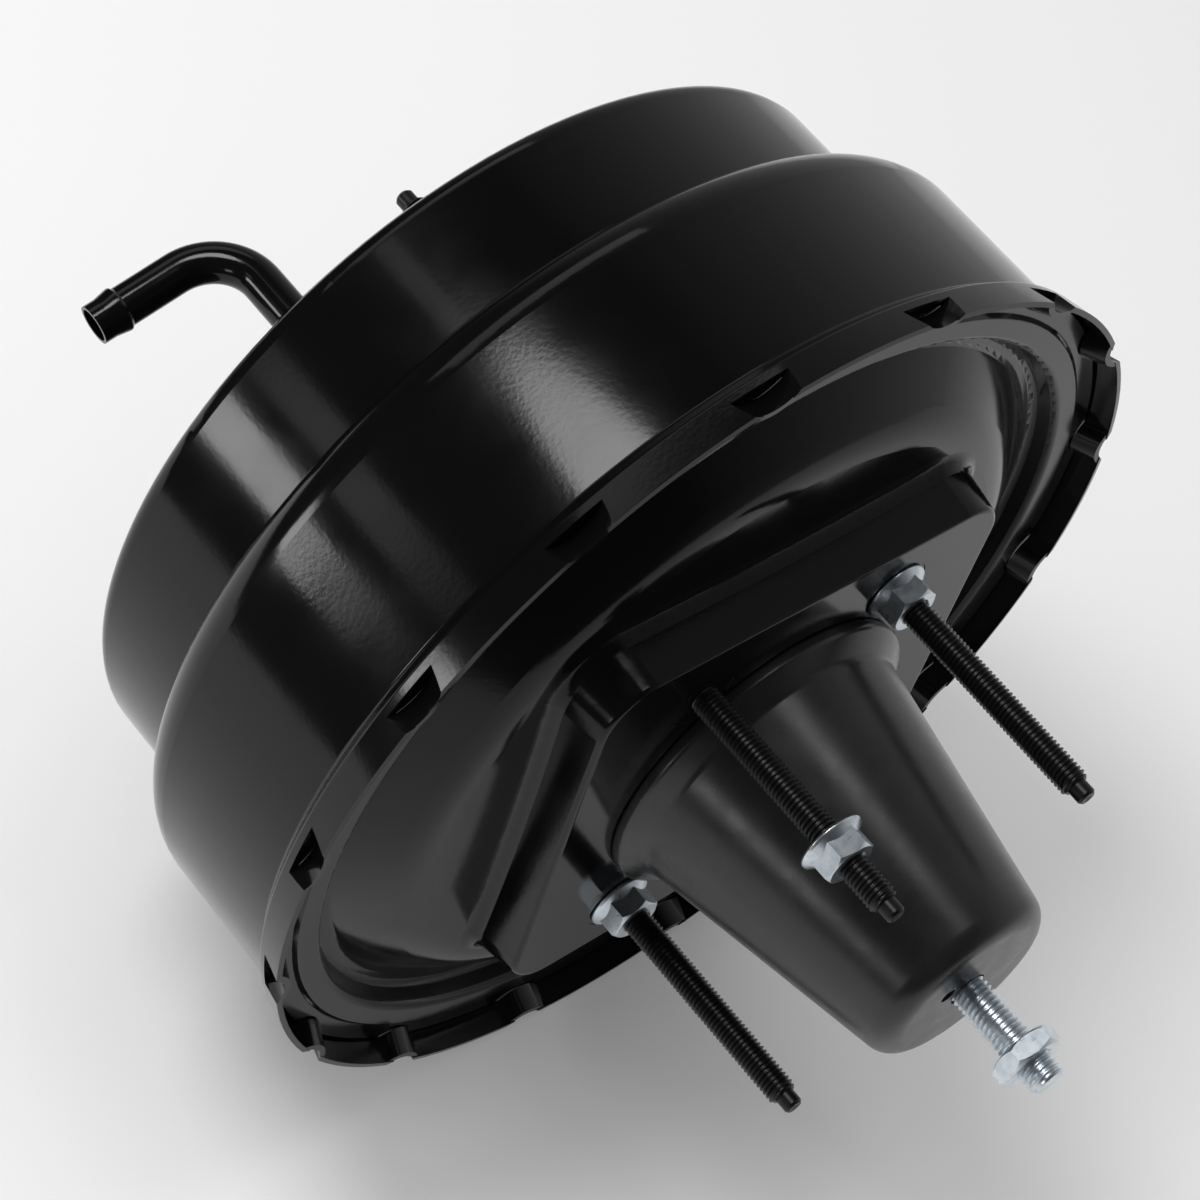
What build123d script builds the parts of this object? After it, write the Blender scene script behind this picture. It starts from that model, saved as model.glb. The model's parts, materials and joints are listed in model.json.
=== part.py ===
from build123d import *
from math import cos, radians, sin
import os

# Tandem vacuum brake booster, millimetres.
# Origin: centre of the firewall mounting face. The booster's axis is Y: the pedal is
# towards -Y and the master cylinder towards +Y. +Z is up, along the studs' wider pitch.

# ---------------------------------------------------------------- driving dimensions
# shells: pressed steel
front_wall = 1.5
rear_wall = 1.8
sharpest_bend = 0.3
drum_radius = 132.0
skirt_step_height = 3.3
skirt_flare = 1.7
skirt_end_y = 15.7
skirt_step_y = 24.9
skirt_step_length = 3.0
skirt_step_bend = 1.2
drum_front_y = 82.2
shoulder_rise = 2.0
shoulder_bend = 13.0
shoulder_width = 13.3
shoulder_foot_bend = 1.5
front_face_y = 119.8
front_face_crown = 11.2
front_face_bend = 5.5
cylinder_pad_radius = 61.0
cylinder_pad_rise = 3.5
cylinder_bore_radius = 28.5
cylinder_bore_depth = 16.0
cylinder_bore_bend = 2.5

# lances: dents sheared in the skirt that hold the rear shell's rim
lance_count = 16
lance_first_angle = 10.5
lance_bend_radius = 11.0
lance_depth = 3.0
lance_depth_at_edge = -0.3
lance_slit = 0.4

# rear shell: rim, groove, dish and the tall square plateau that meets the firewall
rim_clearance = 0.6
rim_flange_y = 22.5
rim_step = 1.2
ledge_width = 7.0
groove_y = 28.0
groove_wall_run = 2.0
groove_width = 4.5
dish_shoulder_run = 17.0
dish_shoulder_y = 15.2
dish_shoulder_bend = 18.0
dish_slope = 0.04
dish_inner_radius = 30.0
plateau_half_x = 65.5
plateau_half_z = 63.5
plateau_corner_radius = 14.0
plateau_draft = 10.0
plateau_edge_radius = 1.6
plateau_foot_radius = 4.0
neck_radius = 33.5
neck_length = 10.0
coin_depth = 0.2
coin_margin = 0.8

# fasteners
m8_radius = 4.0
m8_core_radius = 3.3
m10_radius = 5.0
m10_core_radius = 4.2
thread_clearance = 0.05
knurl_radius = 4.4
stud_pitch_x = 64.4
stud_pitch_z = 91.2
stud_length = 72.0
stud_dog_length = 5.0
stud_dog_radius = 2.8
stud_head_radius = 7.5
stud_head_height = 3.0
flange_nut_height = 8.0
flange_nut_flange_radius = 9.0
flange_nut_flange_height = 1.5
flange_nut_across_flats = 13.0
loose_nut_distance = 47.6
cylinder_stud_pitch = 95.2
cylinder_stud_length = 29.2
jam_nut_across_flats = 17.0
jam_nut_height = 5.5

# dust boot: rubber
boot_wall = 2.4
boot_foot_radius = 46.0
boot_foot_height = 3.2
boot_cone_start_y = -7.5
boot_cone_start_radius = 40.2
boot_end_y = -83.0
boot_end_radius = 26.4
boot_end_bend = 7.0
boot_hole_clearance = 0.3
boot_vent_radius = 1.9
boot_vent_reach = 10.6
boot_vent_angle = 153.0

# vacuum pipe: steel tube with a rolled hose bead
pipe_radius = 5.3
pipe_bore_radius = 4.4
pipe_angle = 133.56
pipe_inset = 28.6
pipe_run_y = 160.0
pipe_run_length = 39.5
pipe_run_fall_angle = 16.3
pipe_bend_radius = 15.5
pipe_bead_radius = 5.95
pipe_bead_distance = 7.0
pipe_bead_ramp = 3.6
pipe_bead_crest = 0.6
pipe_bead_drop = 0.8
pipe_collar_radius = 9.0
pipe_collar_height = 2.5
pipe_tail = 4.0

# centre plate and diaphragms
centre_wall = 1.5
centre_plate_gap = 8.0
centre_rim_gap = 0.4
centre_fold_clearance = 0.9
diaphragm_bead_thickness = 4.4
diaphragm_wall = 1.2
rear_fold_depth = 16.0
rear_fold_gap = 2.4
front_fold_depth = 12.0
rear_fold_span = 8.5
front_fold_span = 12.7
front_bead_rise = 0.6
centre_web_rise = 4.0
centre_hub_length = 12.0
centre_hub_gap = 5.0

# power piston
stroke = 32.0
running_clearance = 0.06
soft_clearance = 0.3
tube_radius = 23.0
tube_bore_radius = 17.0
tube_end_y = -62.0
hub_radius = 34.0
hub_rear_y = 12.0
hub_front_y = 76.0
nose_radius = 30.0
nose_front_y = 84.0
plate_wall = 1.5
rear_plate_flat_radius = 56.0
rear_plate_step = 11.5
rear_plate_cone_rise = 11.0
rear_plate_lip = 6.5
front_plate_lip = 8.0
disc_radius = 14.0
disc_thickness = 6.0
disc_seat_y = 68.0
output_head_height = 6.0
output_rod_radius = 6.5
output_rod_end_y = 136.0
output_screw_radius = 4.0
output_screw_head_radius = 5.5
output_screw_height = 4.5
output_screw_shank = 12.0
clip_height = 2.0
passage_radius = 3.0
passage_circle_radius = 18.0
pocket_radius = 4.0
pocket_count = 6
pocket_depth = 40.0
return_wire_radius = 2.0
return_spring_small_radius = 33.0
return_spring_large_radius = 36.5
return_spring_turns = 4.5

# input valve
plunger_radius = 9.0
stem_radius = 7.0
stem_start_y = 19.0
plunger_gap = 2.3
plunger_rear_y = -2.0
valve_flange_radius = 11.5
valve_flange_height = 2.0
key_groove_radius = 5.2
key_y = 24.0
key_thickness = 3.0
key_play = 0.3
key_width = 12.0
key_length = 32.5
ball_radius = 6.0
ball_y = 8.0
ball_clearance = 0.1
socket_mouth_radius = 5.3
rod_neck_radius = 3.6
rod_radius = 5.0
rod_end_y = -113.7
jam_nut_y = -105.0
poppet_thickness = 3.0
poppet_inner_radius = 8.6
poppet_outer_radius = 14.0
poppet_bellows_radius = 16.2
poppet_bellows_length = 14.0
poppet_wall = 1.4
retainer_wall = 1.2
retainer_depth = 10.0
retainer_bore_radius = 6.8
small_wire_radius = 0.8
poppet_spring_radius = 11.0
valve_spring_radius = 8.2
valve_spring_turns = 3.5
poppet_spring_turns = 2.5
spring_seat_y = -39.0
spring_seat_height = 2.0
filter_length = 12.0
silencer_length = 6.0
filter_bore_radius = 8.2
valve_travel = 2.0
valve_floor_y = 0.0
valve_seat_radius = 13.6
valve_seat_wall = 1.4
bush_length = 5.0
seal_length = 7.0
seal_retainer_height = 1.3
centre_seal_length = 8.0
front_seal_radius = 12.0
seal_plate_height = 5.0

# ---------------------------------------------------------------- values worked out
skirt_radius = drum_radius + skirt_step_height
skirt_lip_radius = skirt_radius + skirt_flare
skirt_inner_radius = skirt_radius - front_wall
front_drum_radius = drum_radius - shoulder_width
centre_plate_radius = drum_radius - centre_plate_gap
centre_rim_radius = drum_radius - front_wall - centre_rim_gap
ledge_inner_radius = centre_plate_radius - diaphragm_wall - rear_fold_gap - centre_fold_clearance
rim_step_radius = ledge_inner_radius + ledge_width
groove_outer_radius = ledge_inner_radius - groove_wall_run
groove_inner_radius = groove_outer_radius - groove_width
dish_shoulder_radius = groove_inner_radius - dish_shoulder_run
rear_plate_radius = ledge_inner_radius - rear_fold_span
front_plate_radius = front_drum_radius - front_fold_span
rim_radius = skirt_inner_radius - rim_clearance
pad_y = front_face_y + front_face_crown + cylinder_pad_rise
pad_foot_radius = cylinder_pad_radius + cylinder_pad_rise
front_face_slope = front_face_crown / (front_drum_radius - pad_foot_radius)
pipe_circle_radius = front_drum_radius - pipe_inset
pipe_x = pipe_circle_radius * cos(radians(pipe_angle))
pipe_z = pipe_circle_radius * sin(radians(pipe_angle))
pipe_foot_y = front_face_y + front_face_slope * pipe_inset
bead_rear_y = rim_flange_y + rear_wall
centre_rim_y = bead_rear_y + diaphragm_bead_thickness
shoulder_inner_y = drum_front_y - front_wall + front_bead_rise
front_bead_y = shoulder_inner_y - diaphragm_bead_thickness
centre_shoulder_y = front_bead_y - centre_wall
neck_inner_radius = neck_radius - rear_wall
nut_half_height = jam_nut_height / 2
output_head_y = disc_seat_y + disc_thickness
clip_y = output_head_y + output_head_height
key_front_y = key_y + key_thickness
stud_spots = [
    (sx * stud_pitch_x / 2, sz * stud_pitch_z / 2) for sx in (-1, 1) for sz in (-1, 1)
]
loose_nut_spot = (-stud_pitch_x / 2, stud_pitch_z / 2)
cylinder_stud_spots = [(0, sz * cylinder_stud_pitch / 2) for sz in (-1, 1)]


# ---------------------------------------------------------------- helpers
def turned(points):
    """A closed half-section of (radius, y) points turned about the booster's axis."""
    return revolve(make_face(Polyline(*points, close=True)), axis=Axis.Y)


def ring(inner, outer, y_start, y_end):
    """A plain ring about the axis."""
    return turned([(inner, y_start), (outer, y_start), (outer, y_end), (inner, y_end)])


def parallel(points, bends, distance):
    """The bent path that runs at a distance to the left of another one (right if negative)."""
    corners = [Vector(*point) for point in points]
    ways = [(corners[i + 1] - corners[i]).normalized() for i in range(len(corners) - 1)]
    lefts = [Vector(-way.Y, way.X) for way in ways]
    moved = [corners[0] + lefts[0] * distance]
    moved_bends = []
    for i in range(1, len(ways)):
        share = 1 + lefts[i - 1].dot(lefts[i])
        moved.append(corners[i] + (lefts[i - 1] + lefts[i]) * (distance / share))
        turn = ways[i - 1].X * ways[i].Y - ways[i - 1].Y * ways[i].X
        change = -distance if turn > 0 else distance
        moved_bends.append(max(bends[i - 1] + change, sharpest_bend))
    moved.append(corners[-1] + lefts[-1] * distance)
    return FilletPolyline(*moved, radius=moved_bends)


def pressing(points, bends, wall):
    """Sheet bent along the (radius, y) points, its wall to the left of the path or, where
    wall is negative, to the right, turned about the booster's axis."""
    path = FilletPolyline(*points, radius=bends)
    other = parallel(points, bends, wall)
    ends = [Line(path @ 0, other @ 0), Line(path @ 1, other @ 1)]
    return revolve(make_face([*path.edges(), *other.edges(), *ends]), axis=Axis.Y)


def bar(radius, y_start, y_end, spot=(0, 0)):
    """A round bar parallel to the axis, centred on the (x, z) spot."""
    middle = (y_start + y_end) / 2
    body = Cylinder(radius, abs(y_end - y_start))
    return Pos(spot[0], middle, spot[1]) * Rot(90, 0, 0) * body


def hexagon(across_flats, y_start, y_end, spot=(0, 0), turn=0):
    """A hexagonal bar parallel to the axis."""
    plane = Plane(origin=(spot[0], y_start, spot[1]), x_dir=(1, 0, 0), z_dir=(0, 1, 0))
    outline = Rot(0, 0, turn) * RegularPolygon(across_flats / 2, 6, major_radius=False)
    return extrude(plane * outline, y_end - y_start)


def coil(wire, radius_start, radius_end, y_start, y_end, turns):
    """A round-wire spring, straight or conical, from y_start to y_end."""
    height = y_end - y_start - 2 * wire
    steps_per_turn = 8
    steps = int(turns * steps_per_turn)
    points = []
    for i in range(steps + 1):
        share = i / steps
        angle = 360 * turns * share
        radius = radius_start + (radius_end - radius_start) * share
        place = Vector(radius * cos(radians(angle)), y_start + wire + height * share, radius * sin(radians(angle)))
        points.append(place)
    path = Spline(*points)
    section = Plane(origin=path @ 0, z_dir=path % 0) * Circle(wire)
    return sweep(section, path=path)


# ---------------------------------------------------------------- shells
def lance_tool(radius):
    """A bar that lies along one lance, leaning so that the dent is deepest at its slit."""
    lean_length = rim_flange_y - skirt_end_y
    lean = (lance_depth - lance_depth_at_edge) / lean_length
    middle_y = (rim_flange_y + skirt_end_y) / 2
    middle_depth = (lance_depth + lance_depth_at_edge) / 2
    axis_radius = skirt_radius + lance_bend_radius - middle_depth
    body = Cylinder(radius, 4 * lean_length)
    line = Plane(origin=(axis_radius, middle_y, 0), z_dir=(-lean, 1, 0))
    return line * body


def around(tool, count, first_angle):
    """Copies of a tool set evenly round the axis."""
    pitch = 360 / count
    return [Rot(0, -(first_angle + i * pitch), 0) * tool for i in range(count)]


def front_shell():
    """Stepped drum: skirt, large drum, shoulder, small drum and the master cylinder pad."""
    step_end_y = skirt_step_y + skirt_step_length
    small_foot_y = drum_front_y + shoulder_rise
    crown_y = front_face_y + front_face_crown
    shell = pressing(
        [
            (skirt_lip_radius, skirt_end_y),
            (skirt_radius, skirt_step_y),
            (drum_radius, step_end_y),
            (drum_radius, drum_front_y),
            (front_drum_radius, small_foot_y),
            (front_drum_radius, front_face_y),
            (pad_foot_radius, crown_y),
            (cylinder_pad_radius, pad_y),
            (cylinder_bore_radius, pad_y),
            (cylinder_bore_radius, pad_y - cylinder_bore_depth),
        ],
        [
            skirt_step_bend,
            skirt_step_bend,
            shoulder_bend,
            shoulder_foot_bend,
            front_face_bend,
            cylinder_pad_rise,
            cylinder_bore_bend,
            cylinder_bore_bend,
        ],
        front_wall,
    )
    slit_y = rim_flange_y - lance_slit
    scoop = lance_tool(lance_bend_radius)
    bulge = lance_tool(lance_bend_radius + front_wall)
    inside = skirt_inner_radius - 2 * lance_depth
    outer_zone = ring(inside, skirt_lip_radius + 2 * lance_depth, skirt_end_y - lance_depth, slit_y)
    skirt_slope = skirt_flare / (skirt_step_y - skirt_end_y)
    slit_radius = skirt_lip_radius - skirt_slope * (slit_y - skirt_end_y)
    middle = front_wall / 2
    inner_zone = turned(
        [
            (inside, skirt_end_y),
            (skirt_lip_radius - middle, skirt_end_y),
            (slit_radius - middle, slit_y),
            (inside, slit_y),
        ]
    )
    dent = scoop & outer_zone
    slit_zone = ring(skirt_inner_radius - middle, skirt_lip_radius, slit_y, rim_flange_y)
    slit = scoop & slit_zone
    wall_in = (bulge & inner_zone) - scoop
    shell = shell - around(dent + slit, lance_count, lance_first_angle)
    shell = shell + around(wall_in, lance_count, lance_first_angle)
    for spot in cylinder_stud_spots:
        shell -= bar(knurl_radius, pad_y - 2 * front_wall, pad_y + 1, spot)
    shell -= bar(pipe_radius, front_face_y - front_wall, pad_y, (pipe_x, pipe_z))
    return shell


def rear_die(inset):
    """The space in front of the rear shell's outer surface, set back by inset."""
    reach = 1.1 * rim_radius
    back_y = 2 * groove_y
    inner_y = dish_shoulder_y - dish_slope * (dish_shoulder_radius - dish_inner_radius)
    points = [
        (reach, rim_flange_y),
        (rim_step_radius + rim_step, rim_flange_y),
        (rim_step_radius, rim_flange_y - rim_step),
        (ledge_inner_radius, rim_flange_y - rim_step),
        (groove_outer_radius, groove_y),
        (groove_inner_radius, groove_y),
        (dish_shoulder_radius, dish_shoulder_y),
        (dish_inner_radius, inner_y),
    ]
    surface = parallel(points, [0.4, 0.4, 2.2, 2.4, 3, dish_shoulder_bend], -inset)
    ends = sorted([surface @ 0, surface @ 1], key=lambda end: end.X)
    closing = Polyline(ends[0], (0, ends[0].Y), (0, back_y), (reach, back_y), ends[1])
    space = revolve(make_face([*surface.edges(), *closing.edges()]), axis=Axis.Y)
    width = 2 * (plateau_half_x - inset)
    height = 2 * (plateau_half_z - inset)
    outline = RectangleRounded(width, height, plateau_corner_radius - inset)
    face_plane = Plane(origin=(0, inset, 0), x_dir=(1, 0, 0), z_dir=(0, 1, 0))
    root_y = (dish_shoulder_y + groove_y) / 2
    block = extrude(face_plane * outline, root_y - inset, taper=-plateau_draft)
    edge_radius = max(plateau_edge_radius - inset, 0.5)
    block = fillet(block.faces().sort_by(Axis.Y)[0].edges(), edge_radius)
    die = space + block
    foot = []
    for edge in die.edges():
        box = edge.bounding_box()
        leaves_plane = box.size.Y > 0.1 and box.size.X + box.size.Z > 2 * plateau_draft
        above_face = box.min.Y > plateau_edge_radius + inset + 1
        inside_dish = max(box.max.X, -box.min.X, box.max.Z, -box.min.Z) < dish_shoulder_radius
        if leaves_plane and above_face and inside_dish:
            foot.append(edge)
    return fillet(foot, plateau_foot_radius + inset)


def rear_shell():
    """Pressed cover: rim flange, groove, dish, square plateau, turned neck and stud holes."""
    shell = rear_die(0) - rear_die(rear_wall)
    shell = shell & bar(rim_radius, -1, 1.5 * groove_y)
    shell += ring(neck_inner_radius, neck_radius, -neck_length, rear_wall)
    shell -= bar(neck_inner_radius, -neck_length - 1, rear_wall + 1)
    shell -= ring(neck_radius, boot_foot_radius + coin_margin, -1, coin_depth)
    for spot in stud_spots:
        shell -= bar(knurl_radius, -1, rear_wall + 1, spot)
        shell -= bar(flange_nut_flange_radius + coin_margin, -1, coin_depth, spot)
    return shell


def centre_plate():
    """Fixed wall between the two vacuum chambers, with a turned hub for its seal."""
    web_y = centre_shoulder_y - centre_web_rise
    hub_inner = hub_radius + centre_hub_gap
    plate = pressing(
        [
            (centre_rim_radius, centre_rim_y),
            (centre_plate_radius, centre_rim_y),
            (centre_plate_radius, centre_shoulder_y),
            (front_drum_radius - 7, centre_shoulder_y),
            (front_drum_radius - 7 - centre_web_rise, web_y),
            (hub_inner, web_y),
            (hub_inner, web_y - centre_hub_length),
        ],
        [2, 3, 2, 2, 2],
        -centre_wall,
    )
    return plate


def reinforcement_plate():
    """Thick disc behind the master cylinder pad that carries the two studs."""
    bore = cylinder_bore_radius + cylinder_bore_bend + 0.1
    outer = cylinder_pad_radius - 2 * front_wall
    face_y = pad_y - front_wall
    plate = ring(bore, outer, face_y - plate_wall - 1, face_y)
    for spot in cylinder_stud_spots:
        plate -= bar(knurl_radius, face_y - 5, face_y + 1, spot)
    return plate


# ---------------------------------------------------------------- fasteners
def stud(y_seat, direction, thread_start, length, engaged, spot):
    """A pressed-in stud: head, knurled shank, M8 thread, thread core under a nut, dog point."""
    dog_y = length - stud_dog_length
    body = bar(stud_head_radius, y_seat - direction * stud_head_height, y_seat, spot)
    body += bar(knurl_radius, y_seat, thread_start, spot)
    marks = [0.0]
    for nut_start, nut_end in engaged:
        marks += [nut_start, nut_end]
    marks.append(dog_y)
    for i in range(0, len(marks), 2):
        if marks[i + 1] > marks[i]:
            start = thread_start + direction * marks[i]
            end = thread_start + direction * marks[i + 1]
            body += bar(m8_radius, start, end, spot)
    for nut_start, nut_end in engaged:
        start = thread_start + direction * nut_start
        end = thread_start + direction * nut_end
        body += bar(m8_core_radius, start, end, spot)
    tip_y = thread_start + direction * length
    body += bar(stud_dog_radius, thread_start + direction * dog_y, tip_y, spot)
    return chamfer(body.edges().group_by(Axis.Y)[0 if direction < 0 else -1], 0.8)


def firewall_studs():
    """Four studs, pressed through the plateau from inside."""
    studs = []
    for spot in stud_spots:
        start = loose_nut_distance if spot == loose_nut_spot else 0.0
        engaged = [(start, start + flange_nut_height)]
        studs.append(stud(rear_wall, -1, coin_depth, stud_length + coin_depth, engaged, spot))
    return studs


def flange_nut(seat_y, spot):
    """M8 flange nut: hexagon, sloped flange and a bore that the thread's core runs through."""
    flange_top = seat_y - flange_nut_flange_height
    end_y = seat_y - flange_nut_height
    waist = flange_nut_across_flats / 2
    flange = turned(
        [
            (0, seat_y),
            (flange_nut_flange_radius - 0.4, seat_y),
            (flange_nut_flange_radius, seat_y - 0.5),
            (flange_nut_flange_radius - 0.2, seat_y - 1.1),
            (waist, flange_top - 1.6),
            (0, flange_top - 1.6),
        ]
    )
    body = hexagon(flange_nut_across_flats, end_y, seat_y - 0.5)
    corner = flange_nut_across_flats / 3**0.5
    crown = turned(
        [
            (0, seat_y),
            (corner, seat_y),
            (corner, end_y + 1.0),
            (waist - 0.3, end_y),
            (0, end_y),
        ]
    )
    nut = flange + (body & crown)
    nut -= bar(m8_core_radius + thread_clearance, end_y - 1, seat_y + 1)
    nut = nut - turned([(0, end_y - 0.1), (m8_radius + 0.5, end_y - 0.1), (m8_core_radius, end_y + 1.0), (0, end_y + 1)])
    return Pos(spot[0], 0, spot[1]) * nut


def firewall_nuts():
    """Three nuts run down to the plateau and one left half way along its stud."""
    nuts = []
    for spot in stud_spots:
        start = loose_nut_distance if spot == loose_nut_spot else 0.0
        nuts.append(flange_nut(coin_depth - start, spot))
    return nuts


def cylinder_studs():
    """Two studs that carry the master cylinder."""
    seat_y = pad_y - front_wall - plate_wall - 1
    return [stud(seat_y, 1, pad_y, cylinder_stud_length, [], spot) for spot in cylinder_stud_spots]


def jam_nut():
    """Thin M10 hexagon nut on the pushrod, chamfered on both sides."""
    start = jam_nut_y - nut_half_height
    end = jam_nut_y + nut_half_height
    corner = jam_nut_across_flats / 3**0.5
    flat = jam_nut_across_flats / 2
    crown = turned(
        [
            (0, start),
            (flat - 0.3, start),
            (corner, start + 1.1),
            (corner, end - 1.1),
            (flat - 0.3, end),
            (0, end),
        ]
    )
    nut = hexagon(jam_nut_across_flats, start, end, turn=10) & crown
    return nut - bar(m10_core_radius + thread_clearance, start - 1, end + 1)


# ---------------------------------------------------------------- pipe, seals and boot
def vacuum_pipe():
    """Bent steel tube that leaves the front face, with a rolled bead for the hose."""
    fall = radians(pipe_run_fall_angle)
    run = Vector(-cos(fall), 0, -sin(fall))
    foot = Vector(pipe_x, pipe_foot_y - pipe_tail, pipe_z)
    corner = Vector(pipe_x, pipe_run_y, pipe_z)
    end = corner + run * pipe_run_length
    path = FilletPolyline(foot, corner, end, radius=pipe_bend_radius)
    start = Plane(origin=foot, z_dir=(0, 1, 0))
    tube = sweep(start * Circle(pipe_radius), path=path)
    bead_outline = Polyline(
        (0, -pipe_bead_ramp),
        (pipe_radius, -pipe_bead_ramp),
        (pipe_bead_radius, 0),
        (pipe_bead_radius, pipe_bead_crest),
        (pipe_radius, pipe_bead_crest + pipe_bead_drop),
        (0, pipe_bead_crest + pipe_bead_drop),
        close=True,
    )
    bead = revolve(make_face(bead_outline), axis=Axis.Y)
    bead_place = Plane(origin=end - run * pipe_bead_distance, x_dir=(0, 1, 0), z_dir=-run)
    tube += bead_place * Rot(90, 0, 0) * bead
    return tube - sweep(start * Circle(pipe_bore_radius), path=path)


def pipe_collar():
    """Brazed collar round the pipe where it leaves the front face."""
    crown_y = front_face_y + front_face_crown
    top_y = pipe_foot_y + front_face_slope * pipe_collar_radius + pipe_collar_height
    face = bar(pipe_collar_radius, front_face_y, top_y, (pipe_x, pipe_z))
    below = front_face_y - front_wall
    shell_face = turned(
        [
            (0, below),
            (front_drum_radius, below),
            (front_drum_radius, front_face_y),
            (pad_foot_radius, crown_y),
            (0, crown_y),
        ]
    )
    face = face - shell_face
    face = chamfer(face.edges().group_by(Axis.Y)[-1], 0.8)
    return face - bar(pipe_radius + 0.02, below, 2 * top_y, (pipe_x, pipe_z))


def dust_boot():
    """Smooth tapered rubber boot with a thick foot, a rounded end and a vent by the rod."""
    foot_top = coin_depth - boot_foot_height
    foot_neck = neck_radius + 0.05
    boot = pressing(
        [
            (boot_foot_radius, coin_depth),
            (boot_foot_radius, foot_top),
            (boot_cone_start_radius, boot_cone_start_y),
            (boot_end_radius, boot_end_y),
            (rod_radius + boot_hole_clearance, boot_end_y),
        ],
        [1.2, 3, boot_end_bend],
        -boot_wall,
    )
    boot += ring(foot_neck, boot_foot_radius - 1, foot_top, coin_depth)
    angle = radians(boot_vent_angle)
    vent_spot = (boot_vent_reach * cos(angle), boot_vent_reach * sin(angle))
    return boot - bar(boot_vent_radius, boot_end_y - 1, boot_end_y + boot_wall + 1, vent_spot)


def rear_bush():
    """Nylon bush that guides the valve body in the rear shell's neck."""
    inner = tube_radius + running_clearance
    return ring(inner, neck_inner_radius, rear_wall - bush_length, rear_wall)


def rear_seal():
    """Rubber lip seal on the valve body, behind the bush."""
    front = rear_wall - bush_length
    back = -neck_length + seal_retainer_height
    lip = tube_radius + running_clearance
    return turned(
        [
            (neck_inner_radius, front),
            (neck_inner_radius, back),
            (lip + 4, back),
            (lip + 4, front - 2.6),
            (lip + 1.6, back + 0.8),
            (lip, back + 0.8),
            (lip, back + 1.8),
            (lip + 1.0, front),
        ]
    )


def rear_seal_retainer():
    """Steel ring that closes the neck."""
    back = -neck_length
    return ring(tube_radius + 3, neck_inner_radius, back, back + seal_retainer_height)


def centre_seal():
    """Rubber seal between the centre plate's hub and the sliding valve body."""
    outer = hub_radius + centre_hub_gap - centre_wall
    web_y = centre_shoulder_y - centre_web_rise
    front = web_y - 1
    back = front - centre_seal_length
    lip = hub_radius + running_clearance
    return turned(
        [
            (outer, back),
            (outer, front),
            (lip + 1.2, front),
            (lip + 1.2, front - 1.5),
            (lip, front - 2.5),
            (lip, front - 3.5),
            (lip + 1.2, back),
        ]
    )


def front_seal_plate():
    """Steel dish pressed into the inner end of the cylinder bore."""
    back = pad_y - cylinder_bore_depth
    cup_end = back + seal_plate_height
    cup = ring(cylinder_bore_radius - front_wall, cylinder_bore_radius, back, cup_end)
    return cup + ring(front_seal_radius, cylinder_bore_radius, back, back + front_wall)


def front_seal():
    """Rubber seal that the output rod slides through."""
    back = pad_y - cylinder_bore_depth
    lip = output_rod_radius + running_clearance
    return turned(
        [
            (lip, back),
            (front_seal_radius, back),
            (front_seal_radius, back + front_wall),
            (front_seal_radius + 2, back + front_wall),
            (front_seal_radius + 2, back + 3.2),
            (lip, back + 3.2),
        ]
    )


# ---------------------------------------------------------------- diaphragms and plates
def rear_plate_points(clearance):
    """The rear plate's rear surface, moved back by clearance, from its rim to its hub."""
    flat_y = hub_rear_y - plate_wall - clearance
    foot_radius = rear_plate_flat_radius + 2 + clearance
    step_y = flat_y + rear_plate_step
    rim_y = step_y + rear_plate_cone_rise
    return [
        (rear_plate_radius + clearance, rim_y + rear_plate_lip),
        (rear_plate_radius + clearance, rim_y),
        (foot_radius, step_y),
        (rear_plate_flat_radius + clearance, flat_y),
        (tube_radius + soft_clearance, flat_y),
    ]


def rear_piston_plate():
    """Pressed plate behind the centre plate, seated on the valve body's hub."""
    return pressing(rear_plate_points(0), [3, 4, 3], -plate_wall)


def rear_diaphragm():
    """Moulded rubber: hub, skin over the rear plate, a fold and the clamped bead."""
    gap = soft_clearance
    points = rear_plate_points(gap)
    rim_y = points[1][1]
    fold_y = rim_y + rear_fold_depth
    fold_radius = ledge_inner_radius + rear_fold_gap + diaphragm_wall
    path = [(fold_radius, bead_rear_y + 1.5), (fold_radius, fold_y)]
    path += [(rear_plate_radius + gap, fold_y)]
    path += points[1:]
    skin = pressing(path, [2, 2, 3, 4, 3], diaphragm_wall)
    bead = ring(ledge_inner_radius + rear_fold_gap, centre_rim_radius, bead_rear_y, centre_rim_y)
    return skin + bead


def front_piston_plate():
    """Pressed plate ahead of the centre plate, seated on the valve body's nose."""
    flat_y = hub_front_y + diaphragm_wall
    return pressing(
        [
            (front_plate_radius, flat_y + front_plate_lip),
            (front_plate_radius, flat_y),
            (nose_radius + soft_clearance, flat_y),
        ],
        [4],
        -plate_wall,
    )


def front_diaphragm():
    """Moulded rubber over the front plate, with its bead under the drum's shoulder."""
    flat_y = hub_front_y + diaphragm_wall
    gap = soft_clearance
    inner_radius = front_plate_radius + gap
    outer_radius = front_drum_radius - front_wall - gap
    fold_y = flat_y + front_fold_depth
    skin = pressing(
        [
            (outer_radius, front_bead_y + 1),
            (outer_radius, fold_y),
            (inner_radius, fold_y),
            (inner_radius, flat_y),
            (nose_radius + soft_clearance, flat_y),
        ],
        [2, 2, 3],
        diaphragm_wall,
    )
    bead_outer = centre_plate_radius
    bead = ring(outer_radius - diaphragm_wall, bead_outer, front_bead_y, shoulder_inner_y)
    return skin + bead


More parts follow.
